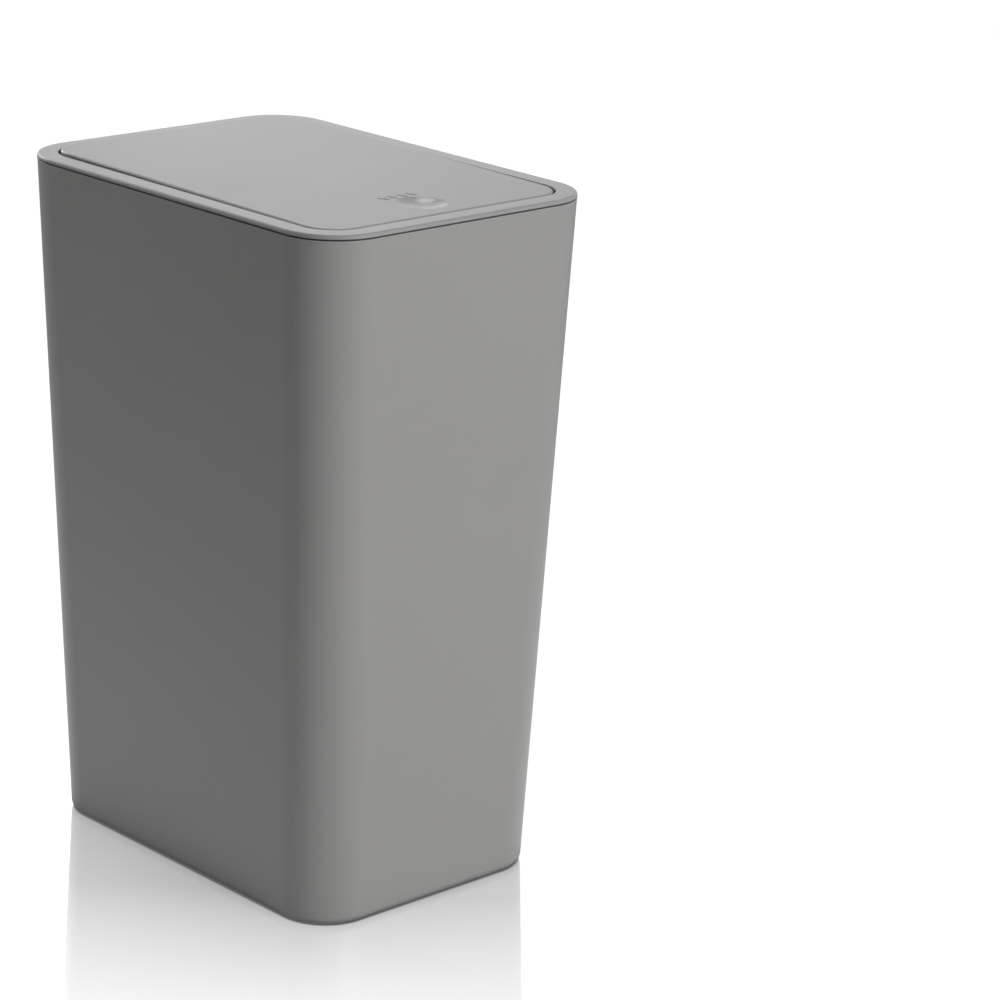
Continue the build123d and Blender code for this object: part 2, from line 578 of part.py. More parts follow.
# ---------------------------------------------------------------- all nodes
def all_nodes():
    pin, spring, jaw = seated(hinge_pin()), seated(hinge_spring()), latch_jaw()
    nodes = {
        "bin_body": bin_body(),
        "rim_frame": rim_frame(),
        "lid_panel": seated(lid_panel()),
        "hinge_pin_left": mirrored(pin),
        "hinge_pin_right": pin,
        "hinge_spring_left": mirrored(spring),
        "hinge_spring_right": spring,
        "lid_striker": seated(lid_striker()),
        "striker_screws": Compound(children=[seated(screw) for screw in striker_screws()]),
        "latch_housing": latch_housing(),
        "latch_cover": latch_cover(),
        "latch_plunger": latch_plunger(),
        "latch_spring": latch_spring(),
        "latch_cam_wire": latch_cam_wire(),
        "latch_jaw_left": mirrored(jaw),
        "latch_jaw_right": jaw,
        "latch_jaw_pins": Compound(children=latch_jaw_pins()),
        "latch_screws": Compound(children=latch_screws()),
        "lid_buffer_left": lid_buffer(-1),
        "lid_buffer_right": lid_buffer(1),
    }
    for place, (x, y) in pad_places().items():
        nodes["foot_pad_" + place] = foot_pad(x, y)
    return nodes


def main():
    os.makedirs("parts", exist_ok=True)
    for name, shape in all_nodes().items():
        export_step(shape, "parts/" + name + ".step")


main()
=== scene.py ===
"""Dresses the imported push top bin: moulded plastics, springs, tactile marks, stage, lamps and camera.

Metres.  X is the bin's width, -Y its front with the finger dish, +Z up.
"""

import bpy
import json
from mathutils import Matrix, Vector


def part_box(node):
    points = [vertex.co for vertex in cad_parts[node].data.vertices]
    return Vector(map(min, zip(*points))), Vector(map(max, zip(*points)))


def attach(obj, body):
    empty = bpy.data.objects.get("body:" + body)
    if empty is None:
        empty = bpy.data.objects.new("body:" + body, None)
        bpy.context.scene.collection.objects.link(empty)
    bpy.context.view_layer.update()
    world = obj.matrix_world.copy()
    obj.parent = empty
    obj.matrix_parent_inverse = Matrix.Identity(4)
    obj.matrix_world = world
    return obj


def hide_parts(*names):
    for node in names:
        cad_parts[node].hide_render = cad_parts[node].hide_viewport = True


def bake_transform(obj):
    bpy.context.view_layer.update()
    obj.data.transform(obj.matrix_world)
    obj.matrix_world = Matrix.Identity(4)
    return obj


bl_info = {
    "name": "Push Top Bin",
    "version": (1, 0, 0),
    "blender": (4, 5, 0),
    "location": "3D View > Sidebar > Bin",
    "description": "Finishes and small parts of a push top countertop bin",
    "category": "Add Mesh",
}

import json
from math import cos, radians, sin

import bpy
import numpy as np
from bpy.props import FloatProperty, FloatVectorProperty, IntProperty, PointerProperty
from mathutils import Matrix, Vector

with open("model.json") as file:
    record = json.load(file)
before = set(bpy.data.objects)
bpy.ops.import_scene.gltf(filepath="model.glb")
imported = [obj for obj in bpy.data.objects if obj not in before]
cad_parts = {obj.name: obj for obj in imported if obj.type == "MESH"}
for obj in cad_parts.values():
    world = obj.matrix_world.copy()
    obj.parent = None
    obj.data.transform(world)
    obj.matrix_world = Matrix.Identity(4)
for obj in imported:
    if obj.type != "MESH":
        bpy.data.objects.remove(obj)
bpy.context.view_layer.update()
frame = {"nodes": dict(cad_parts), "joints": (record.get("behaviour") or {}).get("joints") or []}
MM = 0.001
NODES = frame["nodes"]
JOINTS = {joint["name"]: joint for joint in frame["joints"]}
HINGE = Vector(JOINTS["lid_hinge"]["pos_m"])
RIM_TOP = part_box("rim_frame")[1].z
LID_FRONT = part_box("lid_panel")[0].y
LID_TILT = radians(0.45)        # the closed lid rises from its front edge, which is level with the rim
DISH_CENTRE, DISH_RADIUS = (0, -77 * MM, 0), 11 * MM    # the finger dish in the lid
DISH_EDGE = 0.8 * MM                                    # the dish's polish fades over this width
# Painted shade: the seam band below darkens the colour of the walls of the seam under the rim
SEAM_MIDDLE, SEAM_HALF = 307.85 * MM, 0.45 * MM         # height and half height of the seam under the rim
SEAM_EDGE = 0.08 * MM                                   # the seam's shade fades over this height
SEAM_CORE, SEAM_INNER = (52 * MM, 80.7 * MM, 1), 23.2 * MM    # shaded from this far outside the core box


def lid_height(y):
    """Height of the closed lid's top at a place from front to back."""
    return RIM_TOP + (y - LID_FRONT) * np.tan(LID_TILT)


# ---------------------------------------------------------------- meshes from numpy
POLE_SHARE = 1e-4       # the square of an end ring's share of the tube's radius, so that it has a size


def mesh_object(name, points, faces):
    """An object at the origin whose mesh holds these points and faces."""
    mesh = bpy.data.meshes.new(name)
    mesh.from_pydata(points.tolist(), [], faces)
    mesh.validate()
    mesh.shade_smooth()
    piece = bpy.data.objects.new(name, mesh)
    bpy.context.scene.collection.objects.link(piece)
    return piece


def grid_faces(rows, columns):
    """Quads of a grid that closes on itself along its columns."""
    row, column = np.meshgrid(np.arange(rows - 1), np.arange(columns), indexing="ij")
    after = (column + 1) % columns
    quads = np.stack(
        [row * columns + column, row * columns + after, (row + 1) * columns + after,
         (row + 1) * columns + column], axis=-1,
    )
    return quads.reshape(-1, 4)


def closed_loft(rings):
    """Points and faces of a surface through the rings, closed at both ends on the middle of the end ring.

    rings is (rows, columns, 3).  Each end gets one pole, joined to its ring by triangles.
    """
    rows, columns, _ = rings.shape
    first, last = rings[0].mean(axis=0), rings[-1].mean(axis=0)
    points = np.concatenate([rings.reshape(-1, 3), first[None], last[None]])
    step = np.arange(columns)
    after = (step + 1) % columns
    low = np.stack([after, step, np.full(columns, rows * columns)], axis=-1)
    base = (rows - 1) * columns
    high = np.stack([base + step, base + after, np.full(columns, rows * columns + 1)], axis=-1)
    return points, grid_faces(rows, columns).tolist() + low.tolist() + high.tolist()


def tube(path, radius, across, sides):
    """Rings of a round tube along a path.

    At each point the ring lies square to the path: centre + radius * (cos a * n + sin a * b), where n is
    the across direction with its part along the path taken out, and b is square to both.  The radius
    closes in over the end rings as a quarter circle, so the ends are domed.
    """
    tangent = np.gradient(path, axis=0)
    tangent /= np.linalg.norm(tangent, axis=1, keepdims=True)
    across = np.broadcast_to(np.asarray(across, float), path.shape)
    normal = across - (across * tangent).sum(axis=1, keepdims=True) * tangent
    normal /= np.linalg.norm(normal, axis=1, keepdims=True)
    binormal = np.cross(tangent, normal)
    angle = np.linspace(0, 2 * np.pi, sides, endpoint=False)
    circle = normal[:, None] * np.cos(angle)[:, None] + binormal[:, None] * np.sin(angle)[:, None]
    length = np.concatenate([[0], np.cumsum(np.linalg.norm(np.diff(path, axis=0), axis=1))])
    nearest_end = np.minimum(length, length[-1] - length)
    inward = np.clip(1 - nearest_end / radius, 0, 1)
    size = radius * np.sqrt(np.clip(1 - inward**2, POLE_SHARE, 1))
    return path[:, None] + circle * size[:, None, None]


def join_parts(parts):
    """Points and faces of several closed surfaces as one."""
    points, faces, count = [], [], 0
    for part_points, part_faces in parts:
        points.append(part_points)
        faces += [[index + count for index in face] for face in part_faces]
        count += len(part_points)
    return np.concatenate(points), faces


# ---------------------------------------------------------------- material helpers
def empty_tree(block):
    """The node tree of a new material or world, without nodes."""
    block.use_nodes = True
    block.node_tree.nodes.clear()
    return block.node_tree


def feed(tree, socket, value):
    """Sets an input to a value, or links another node's output to it."""
    if isinstance(value, bpy.types.NodeSocket):
        tree.links.new(value, socket)
    else:
        socket.default_value = value


def put(tree, kind, **values):
    """A node with its inputs and its settings."""
    node = tree.nodes.new(kind)
    for key, value in values.items():
        if key in node.inputs:
            feed(tree, node.inputs[key], value)
        else:
            setattr(node, key, value)
    return node


def math_node(tree, operation, *values):
    """The output of a math node whose inputs are numbers or other nodes' outputs."""
    node = put(tree, "ShaderNodeMath", operation=operation)
    for socket, value in zip(node.inputs, values):
        feed(tree, socket, value)
    return node.outputs[0]


def vector_node(tree, operation, *values):
    """The output of a vector math node whose inputs are triples or other nodes' outputs."""
    node = put(tree, "ShaderNodeVectorMath", operation=operation)
    for socket, value in zip(node.inputs, values):
        feed(tree, socket, value)
    return node.outputs["Value" if operation in ("LENGTH", "DOT_PRODUCT") else "Vector"]


def scaled(tree, vector, factor):
    """A vector or colour times a number."""
    node = put(tree, "ShaderNodeVectorMath", operation="SCALE", Scale=factor)
    tree.links.new(vector, node.inputs[0])
    return node.outputs["Vector"]


def rise_over(tree, value, width):
    """0 for a value below zero, then straight up to 1 where it reaches the width."""
    share = math_node(tree, "DIVIDE", value, width)
    return math_node(tree, "MINIMUM", math_node(tree, "MAXIMUM", share, 0), 1)


def distance_from(tree, place, core):
    """How far a place is from a box round the origin, from the box's half sizes.

    Round a rectangle without its corner radius, this is the same all along the rounded outline.
    """
    beyond = vector_node(tree, "SUBTRACT", vector_node(tree, "ABSOLUTE", place), core)
    return vector_node(tree, "LENGTH", vector_node(tree, "MAXIMUM", beyond, (0, 0, 0)))


def fade(tree, value, start, end, at_start, at_end):
    """A straight ramp from one number to another as a value grows, level outside it."""
    node = put(tree, "ShaderNodeMapRange", Value=value)
    for name, number in (("From Min", start), ("From Max", end), ("To Min", at_start), ("To Max", at_end)):
        node.inputs[name].default_value = number
    return node.outputs["Result"]


def object_coordinates(tree):
    """The place on the object, in metres."""
    return tree.nodes.new("ShaderNodeTexCoord").outputs["Object"]


# ---------------------------------------------------------------- shared shader groups
COARSE_GRAIN = 0.37     # the coarse grain's frequency, as a share of the fine grain's
TARNISH_GLOSS = 0.2     # how much rougher steel is where it is fully tarnished
FLOAT, VECTOR, COLOUR = "NodeSocketFloat", "NodeSocketVector", "NodeSocketColor"
SURFACE_OUTPUTS = {"Height": FLOAT, "Colour": COLOUR, "Roughness": FLOAT}


def new_group(name, inputs, outputs):
    """A shader node group: its tree, the outputs of its input node, and the inputs of its output node.

    inputs is {name: (kind, default)} and outputs {name: kind}.  Each group also takes a Vector.
    """
    tree = bpy.data.node_groups.new(name, "ShaderNodeTree")
    tree.interface.new_socket("Vector", in_out="INPUT", socket_type=VECTOR)
    for socket, (kind, default) in inputs.items():
        made = tree.interface.new_socket(socket, in_out="INPUT", socket_type=kind)
        made.default_value = default
    for socket, kind in outputs.items():
        tree.interface.new_socket(socket, in_out="OUTPUT", socket_type=kind)
    given = tree.nodes.new("NodeGroupInput").outputs
    wanted = tree.nodes.new("NodeGroupOutput").inputs
    return tree, given, wanted


def moulded_grain_group():
    """Spark-eroded grain: two sizes of noise added for height, and a slow noise for gloss and tone."""
    tree, given, wanted = new_group("moulded_grain", {
        "Grains per Metre": (FLOAT, 2600.0),
        "Tone": (COLOUR, (0.3, 0.3, 0.3, 1)),
        "Tone Spread": (FLOAT, 0.03),
        "Roughness": (FLOAT, 0.45),
        "Roughness Spread": (FLOAT, 0.06),
    }, SURFACE_OUTPUTS)
    place, frequency = given["Vector"], given["Grains per Metre"]
    fine = put(tree, "ShaderNodeTexNoise", Vector=place, Scale=frequency, Detail=2.0, Roughness=0.6)
    coarse_frequency = math_node(tree, "MULTIPLY", frequency, COARSE_GRAIN)
    coarse = put(tree, "ShaderNodeTexNoise", Vector=place, Scale=coarse_frequency, Detail=1.0)
    height = math_node(tree, "ADD", fine.outputs["Fac"], coarse.outputs["Fac"])
    tree.links.new(height, wanted["Height"])

    slow = put(tree, "ShaderNodeTexNoise", Vector=place, Scale=24.0, Detail=4.0, Roughness=0.55)
    centred = math_node(tree, "SUBTRACT", slow.outputs["Fac"], 0.5)
    roughness = math_node(tree, "MULTIPLY_ADD", centred, given["Roughness Spread"], given["Roughness"])
    tree.links.new(roughness, wanted["Roughness"])
    brightness = math_node(tree, "MULTIPLY_ADD", centred, given["Tone Spread"], 1.0)
    tree.links.new(scaled(tree, given["Tone"], brightness), wanted["Colour"])
    return tree


def drawn_metal_group():
    """Die lines of drawn wire and turned steel: noise stretched along X, with tarnish from a slow noise."""
    tree, given, wanted = new_group("drawn_metal", {
        "Stretch": (VECTOR, (40.0, 2200.0, 2200.0)),
        "Bright": (COLOUR, (0.6, 0.6, 0.58, 1)),
        "Dull": (COLOUR, (0.35, 0.33, 0.3, 1)),
        "Roughness": (FLOAT, 0.28),
    }, SURFACE_OUTPUTS)
    place = given["Vector"]
    stretched = vector_node(tree, "MULTIPLY", place, given["Stretch"])
    lines = put(tree, "ShaderNodeTexNoise", Vector=stretched, Scale=1.0, Detail=3.0, Roughness=0.7)
    tree.links.new(lines.outputs["Fac"], wanted["Height"])
    tarnish = put(tree, "ShaderNodeTexNoise", Vector=place, Scale=450.0, Detail=3.0, Roughness=0.6)
    blend = put(tree, "ShaderNodeMix", data_type="RGBA")
    tree.links.new(tarnish.outputs["Fac"], blend.inputs["Factor"])
    tree.links.new(given["Bright"], blend.inputs["A"])
    tree.links.new(given["Dull"], blend.inputs["B"])
    tree.links.new(blend.outputs["Result"], wanted["Colour"])
    roughness = math_node(tree, "MULTIPLY_ADD", tarnish.outputs["Fac"], TARNISH_GLOSS, given["Roughness"])
    tree.links.new(roughness, wanted["Roughness"])
    return tree


def polished_disc_group():
    """A round patch that the mould polishes: full within the radius of an upright line, with a soft edge."""
    tree, given, wanted = new_group("polished_disc", {
        "Centre": (VECTOR, (0, 0, 0)),
        "Radius": (FLOAT, 0.01),
        "Edge": (FLOAT, 0.001),
        "Polish": (FLOAT, 0.5),
    }, {"Polish": FLOAT})
    across = vector_node(tree, "SUBTRACT", given["Vector"], given["Centre"])
    distance = vector_node(tree, "LENGTH", vector_node(tree, "MULTIPLY", across, (1, 1, 0)))
    inside = rise_over(tree, math_node(tree, "SUBTRACT", given["Radius"], distance), given["Edge"])
    tree.links.new(math_node(tree, "MULTIPLY", inside, given["Polish"]), wanted["Polish"])
    return tree


def painted_seam_shade_group():
    """Paints shade on a seam's walls by darkening a colour: in a narrow level band, further than Inner
    outside the Core.
    """
    tree, given, wanted = new_group("painted_seam_shade", {
        "Colour": (COLOUR, (0.3, 0.3, 0.3, 1)),
        "Core": (VECTOR, (0, 0, 1)),
        "Inner": (FLOAT, 0.0),
        "Height": (FLOAT, 0.0),
        "Half Width": (FLOAT, 0.0005),
        "Edge": (FLOAT, 0.0001),
        "Dark": (FLOAT, 0.5),
    }, {"Colour": COLOUR})
    split = put(tree, "ShaderNodeSeparateXYZ", Vector=given["Vector"])
    off = math_node(tree, "ABSOLUTE", math_node(tree, "SUBTRACT", split.outputs["Z"], given["Height"]))
    inside = rise_over(tree, math_node(tree, "SUBTRACT", given["Half Width"], off), given["Edge"])
    beyond = distance_from(tree, given["Vector"], given["Core"])
    inside = math_node(tree, "MULTIPLY", inside, math_node(tree, "GREATER_THAN", beyond, given["Inner"]))
    left = math_node(tree, "SUBTRACT", 1, math_node(tree, "MULTIPLY", inside, given["Dark"]))
    tree.links.new(scaled(tree, given["Colour"], left), wanted["Colour"])
    return tree


GROUP_MAKERS = {
    "moulded_grain": moulded_grain_group, "drawn_metal": drawn_metal_group,
    "polished_disc": polished_disc_group, "painted_seam_shade": painted_seam_shade_group,
}


def group_node(tree, name, **values):
    """A node of the shared group of that name, which is made on its first use."""
    node = put(tree, "ShaderNodeGroup", node_tree=bpy.data.node_groups.get(name) or GROUP_MAKERS[name]())
    for key, value in values.items():
        node.inputs[key.replace("_", " ")].default_value = value
    tree.links.new(object_coordinates(tree), node.inputs["Vector"])
    return node


# ---------------------------------------------------------------- materials
GRAIN_BUMP, METAL_BUMP = 0.5, 0.4
DIE_LINE_DEPTH = 0.01 * MM
PLASTIC_IOR = 1.49


def surface_material(name, group, values, bump_distance, bump_strength, **shader_values):
    """A material whose colour, roughness and bump come from a shared group."""
    material = bpy.data.materials.new(name)
    tree = empty_tree(material)
    surface = group_node(tree, group, **values)
    bump = put(
        tree, "ShaderNodeBump", Distance=bump_distance, Strength=bump_strength,
        Height=surface.outputs["Height"])
    shader_values |= {
        "Base Color": surface.outputs["Colour"], "Roughness": surface.outputs["Roughness"],
        "Normal": bump.outputs["Normal"],
    }
    shader = put(tree, "ShaderNodeBsdfPrincipled", **shader_values)
    put(tree, "ShaderNodeOutputMaterial", Surface=shader.outputs["BSDF"])
    return material


def principled(material):
    """The Principled shader of a material."""
    return next(node for node in material.node_tree.nodes if node.type == "BSDF_PRINCIPLED")


def moulded_plastic(name, colour, roughness, grains, depth, gloss=0.5):
    """Plastic with moulded grain of that fineness and depth."""
    values = {"Tone": (*colour, 1), "Roughness": roughness, "Grains per Metre": grains}
    shader_values = {"IOR": PLASTIC_IOR, "Specular IOR Level": gloss}
    return surface_material(name, "moulded_grain", values, depth, GRAIN_BUMP, **shader_values)


def polish_dish(material, finish):
    """A clear coat on the finger dish, which is smoother than the grained lid round it."""
    tree, shader = material.node_tree, principled(material)
    disc = group_node(
        tree, "polished_disc", Centre=DISH_CENTRE, Radius=DISH_RADIUS, Edge=DISH_EDGE,
        Polish=finish.dish_polish)
    tree.links.new(disc.outputs["Polish"], shader.inputs["Coat Weight"])
    shader.inputs["Coat Roughness"].default_value = finish.dish_roughness


def paint_seam_shade(material, finish):
    """Paints shade on the walls of the seam between the rim frame and the body, by darkening their colour."""
    tree, shader = material.node_tree, principled(material)
    seam = group_node(
        tree, "painted_seam_shade", Core=SEAM_CORE, Inner=SEAM_INNER, Height=SEAM_MIDDLE, Half_Width=SEAM_HALF,
        Edge=SEAM_EDGE, Dark=finish.seam_painted_shade)
    colour = shader.inputs["Base Color"].links[0].from_socket
    tree.links.new(colour, seam.inputs["Colour"])
    tree.links.new(seam.outputs["Colour"], shader.inputs["Base Color"])


def steel(name, bright, dull, roughness):
    """Drawn or turned steel with fine die lines."""
    values = {"Bright": (*bright, 1), "Dull": (*dull, 1), "Roughness": roughness}
    return surface_material(name, "drawn_metal", values, DIE_LINE_DEPTH, METAL_BUMP, Metallic=1.0)


def dress(node, material):
    """Gives a CAD node its material."""
    mesh = NODES[node].data
    mesh.materials.clear()
    mesh.materials.append(material)


def dress_piece(piece, material):
    """Gives a new piece its material."""
    piece.data.materials.append(material)


# ---------------------------------------------------------------- settings
class BinFinish(bpy.types.PropertyGroup):
    body_colour: FloatVectorProperty(
        name="Body", description="Colour of the bin body", subtype="COLOR", size=3,
        default=(0.286, 0.282, 0.278))
    rim_colour: FloatVectorProperty(
        name="Rim", description="Colour of the rim frame", subtype="COLOR", size=3,
        default=(0.270, 0.2665, 0.263))
    lid_colour: FloatVectorProperty(
        name="Lid", description="Colour of the lid", subtype="COLOR", size=3,
        default=(0.247, 0.241, 0.2395))
    roughness: FloatProperty(
        name="Roughness", description="Roughness of the grey plastic", subtype="FACTOR", min=0, max=1,
        default=0.42)
    gloss: FloatProperty(
        name="Gloss", description="Strength of the grey plastic's reflection", subtype="FACTOR", min=0, max=1,
        default=0.3)
    dish_polish: FloatProperty(
        name="Dish polish", description="Strength of the smooth coat in the finger dish", subtype="FACTOR",
        min=0, max=1, default=0.38)
    dish_roughness: FloatProperty(
        name="Dish roughness", description="Roughness of the smooth coat in the finger dish",
        subtype="FACTOR", min=0, max=1, default=0.2)
    # Strength of the painted shade on the walls of the rim's seam
    seam_painted_shade: FloatProperty(
        name="Seam shade", description="How much darker the walls of the rim's seam are", subtype="FACTOR",
        min=0, max=1, default=0.5)
    grains: FloatProperty(
        name="Grains per metre", description="Fineness of the moulded grain", default=2600)
    grain_depth: FloatProperty(
        name="Grain depth", description="Height of the moulded grain", unit="LENGTH", default=0.012 * MM)


class BinSprings(bpy.types.PropertyGroup):
    wire: FloatProperty(
        name="Hinge wire", description="Wire diameter of the lid springs", unit="LENGTH", default=0.95 * MM)
    coil_radius: FloatProperty(
        name="Hinge coil", description="Radius of the lid springs' coil, to the wire's middle",
        unit="LENGTH", default=2.2 * MM)
    turns: IntProperty(name="Hinge turns", description="Whole turns of each lid spring", default=9)
    arm: FloatProperty(
        name="Arm", description="Length of the straight arms", unit="LENGTH", default=13 * MM)
    lean: FloatProperty(
        name="Lean", description="Angle of the fixed arm from straight down", subtype="ANGLE",
        default=radians(25))
    latch_wire: FloatProperty(
        name="Latch wire", description="Wire diameter of the latch spring", unit="LENGTH", default=0.6 * MM)
    latch_turns: FloatProperty(name="Latch turns", description="Turns of the latch spring", default=6.5)


class BinMarks(bpy.types.PropertyGroup):
    count: IntProperty(name="Chevrons", description="Raised chevrons that point to the dish", default=4)
    pitch: FloatProperty(
        name="Pitch", description="From chevron to chevron", unit="LENGTH", default=5.2 * MM)
    width: FloatProperty(name="Width", description="Width of a chevron", unit="LENGTH", default=3.8 * MM)
    depth: FloatProperty(
        name="Depth", description="Depth of a chevron, front to back", unit="LENGTH", default=5 * MM)
    stroke: FloatProperty(
        name="Stroke", description="Width of the raised line", unit="LENGTH", default=0.9 * MM)
    rise: FloatProperty(name="Rise", description="Height over the lid", unit="LENGTH", default=0.22 * MM)
    y: FloatProperty(
        name="Place", description="Middle of the row, front to back", unit="LENGTH", default=-62.7 * MM)


class BinStage(bpy.types.PropertyGroup):
    yaw: FloatProperty(
        name="Yaw", description="Turn of the camera round the bin", subtype="ANGLE",
        default=radians(-43.4607))
    pitch: FloatProperty(
        name="Pitch", description="How far the camera looks down", subtype="ANGLE",
        default=radians(17.5938))
    roll: FloatProperty(
        name="Roll", description="Tilt of the camera", subtype="ANGLE", default=radians(1.974))
    distance: FloatProperty(name="Distance", description="Camera to its aim", unit="LENGTH", default=1.5822)
    aim: FloatVectorProperty(
        name="Aim", description="Point that the camera looks at", subtype="TRANSLATION", size=3,
        default=(0.067252, -0.060230, 0.161945))
    lens: FloatProperty(name="Lens", description="Focal length on a 36 mm sensor, in mm", default=127.04)


# ---------------------------------------------------------------- pieces
# Name, colour, roughness, grains per metre, grain depth against the grey plastic's, starts of the node names
SMALL_PLASTICS = (
    ("latch_charcoal", (0.045, 0.045, 0.047), 0.5, 3200, 1, ("latch_housing", "latch_cover")),
    ("natural_acetal", (0.68, 0.66, 0.6), 0.35, 1800, 0.5,
     ("lid_striker", "latch_plunger", "latch_jaw_left", "latch_jaw_right")),
    ("pad_rubber", (0.03, 0.03, 0.031), 0.8, 1500, 2, ("foot_pad", "lid_buffer")),
)
# Name, bright colour, dull colour, roughness; and the nodes that have it
STEELS = (
    (("pin_steel", (0.62, 0.61, 0.59), (0.45, 0.44, 0.42), 0.22),
     ("hinge_pin_left", "hinge_pin_right", "latch_jaw_pins")),
    (("zinc_plate", (0.6, 0.59, 0.55), (0.42, 0.42, 0.4), 0.3), ("latch_screws", "striker_screws")),
    (("cam_wire_steel", (0.5, 0.49, 0.46), (0.3, 0.29, 0.27), 0.3), ("latch_cam_wire",)),
)
HINGE_SPRING_STEEL = ("spring_wire", (0.52, 0.51, 0.48), (0.3, 0.29, 0.27), 0.25)
LATCH_SPRING_STEEL = ("plunger_spring_wire", (0.55, 0.54, 0.5), (0.33, 0.32, 0.3), 0.25)


class BIN_OT_plastics(bpy.types.Operator):
    """Gives the body, rim frame, lid and latch their moulded plastics"""
    bl_idname = "bin.plastics"
    bl_label = "Plastics"

    def execute(self, context):
        finish = context.scene.bin_finish
        for node, colour in (
            ("bin_body", finish.body_colour),
            ("rim_frame", finish.rim_colour),
            ("lid_panel", finish.lid_colour),
        ):
            grey = moulded_plastic(
                node + "_grey", colour, finish.roughness, finish.grains, finish.grain_depth, finish.gloss)
            dress(node, grey)
            if node == "lid_panel":
                polish_dish(grey, finish)
            else:
                # painted shade in the seam between the body and the rim frame
                paint_seam_shade(grey, finish)
        for name, colour, roughness, grains, depth, starts in SMALL_PLASTICS:
            plastic = moulded_plastic(name, colour, roughness, grains, depth * finish.grain_depth)
            for node in NODES:
                if node.startswith(starts):
                    dress(node, plastic)
        return {"FINISHED"}


class BIN_OT_metals(bpy.types.Operator):
    """Gives the pins, screws and latch wire their steels"""
    bl_idname = "bin.metals"
    bl_label = "Metals"

    def execute(self, context):
        for finish, nodes in STEELS:
            metal = steel(*finish)
            for node in nodes:
                dress(node, metal)
        return {"FINISHED"}


COIL_STEPS, ARM_STEPS = 40, 24      # points along each turn, and along each straight arm
ARM_INSET = 0.3 * MM                # the fixed arm is this much shorter than the other
HINGE_SIDES, LATCH_SIDES, CHEVRON_SIDES = 14, 12, 16
LATCH_STEPS = 420
LATCH_END = 0.12                    # share of the latch spring's length of wire in each closed end


def hinge_spring_path(springs, side):
    """Centre line of a lid spring: straight fixed arm, coil round the pin, straight arm under the lid.

    The coil is pin centre + r * (forward cos a, up sin a) while X moves on by one wire per turn.  It starts
    where the fixed arm touches it and ends at the top, where the other arm leaves it level.
    """
    radius, pitch = springs.coil_radius, springs.wire
    lean = springs.lean - LID_TILT
    whole = 2 * np.pi * springs.turns + springs.lean - np.pi / 2
    turn = np.linspace(0, whole, COIL_STEPS * springs.turns)
    angle = np.pi - lean + turn
    coil_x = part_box("hinge_spring_right")[0].x + 0.5 * springs.wire + pitch * turn / (2 * np.pi)
    coil = np.stack([coil_x, HINGE.y + radius * np.cos(angle), HINGE.z + radius * np.sin(angle)], axis=-1)
    steps = np.linspace(1, 0, ARM_STEPS, endpoint=False)[:, None]
    down = np.array([0, -sin(lean), -cos(lean)])
    fixed = coil[0] + down * steps * (springs.arm - ARM_INSET)
    forward = np.array([0, -cos(LID_TILT), -sin(LID_TILT)])
    moving = coil[-1] + forward * (1 - steps + steps[-1]) * springs.arm
    path = np.concatenate([fixed, coil, moving])
    return path * [side, 1, 1]


class BIN_OT_hinge_springs(bpy.types.Operator):
    """Winds the two torsion springs of the lid; each turns from the rim's end to the lid's end"""
    bl_idname = "bin.hinge_springs"
    bl_label = "Hinge Springs"

    def execute(self, context):
        springs = context.scene.bin_springs
        wire = steel(*HINGE_SPRING_STEEL)
        for name, side in (("left", -1), ("right", 1)):
            path = hinge_spring_path(springs, side)
            rings = tube(path, springs.wire / 2, (1, 0, 0), HINGE_SIDES)
            piece = mesh_object("lid_spring_" + name, *closed_loft(rings))
            dress_piece(piece, wire)
            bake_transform(piece)
            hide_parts("hinge_spring_" + name)
        return {"FINISHED"}


def latch_spring_path(springs, low, high):
    """Centre line of the latch spring, upright in the box between two corners, with closed ends.

    At the share t of its wire the place is the axis + r * (cos a, sin a), where a = 2 pi * turns * t.  In
    each closed end it climbs one wire, and evenly between them.  Half a wire is left at the bottom and top.
    """
    centre = (low + high) / 2
    radius = (high.x - low.x - springs.latch_wire) / 2
    share = np.linspace(0, 1, LATCH_STEPS)
    rise = np.clip((share - LATCH_END) / (1 - 2 * LATCH_END), 0, 1)
    span = high.z - low.z - 3 * springs.latch_wire
    ease = np.clip(share / LATCH_END, 0, 1) + np.clip((share - 1 + LATCH_END) / LATCH_END, 0, 1)
    z = low.z + springs.latch_wire * (0.5 + ease) + span * rise
    angle = 2 * np.pi * springs.latch_turns * share
    return np.stack([centre.x + radius * np.cos(angle), centre.y + radius * np.sin(angle), z], axis=-1)


class BIN_OT_latch_spring(bpy.types.Operator):
    """Winds the coil spring under the latch plunger, with closed end turns"""
    bl_idname = "bin.latch_spring"
    bl_label = "Latch Spring"

    def execute(self, context):
        springs = context.scene.bin_springs
        low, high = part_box("latch_spring")
        path = latch_spring_path(springs, low, high)
        rings = tube(path, springs.latch_wire / 2, (0, 0, 1), LATCH_SIDES)
        piece = mesh_object("plunger_spring", *closed_loft(rings))
        dress_piece(piece, steel(*LATCH_SPRING_STEEL))
        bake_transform(piece)
        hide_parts("latch_spring")
        return {"FINISHED"}


CHEVRON_STEPS = 61
CHEVRON_BEND = 0.12     # radius of the apex's arc, as a share of half the width


def chevron_rings(marks, x):
    """Half-sunk round bead along a V whose apex is a small arc and points to the dish.

    Across the V from -1 to 1, the line is sqrt(reach^2 + bend^2) - bend, scaled to 1 at both ends.
    """
    half = marks.width / 2
    reach = np.linspace(-1, 1, CHEVRON_STEPS)
    fold = np.sqrt(reach**2 + CHEVRON_BEND**2) - CHEVRON_BEND
    fold /= np.sqrt(1 + CHEVRON_BEND**2) - CHEVRON_BEND
    y = marks.y + marks.depth * (fold - 0.5)
    path = np.stack([x + half * reach, y, lid_height(y)], axis=-1)
    rings = tube(path, marks.stroke / 2, (0, 0, 1), CHEVRON_SIDES)
    middle = path[:, None]
    squash = np.array([1, 1, 2 * marks.rise / marks.stroke])
    return middle + (rings - middle) * squash


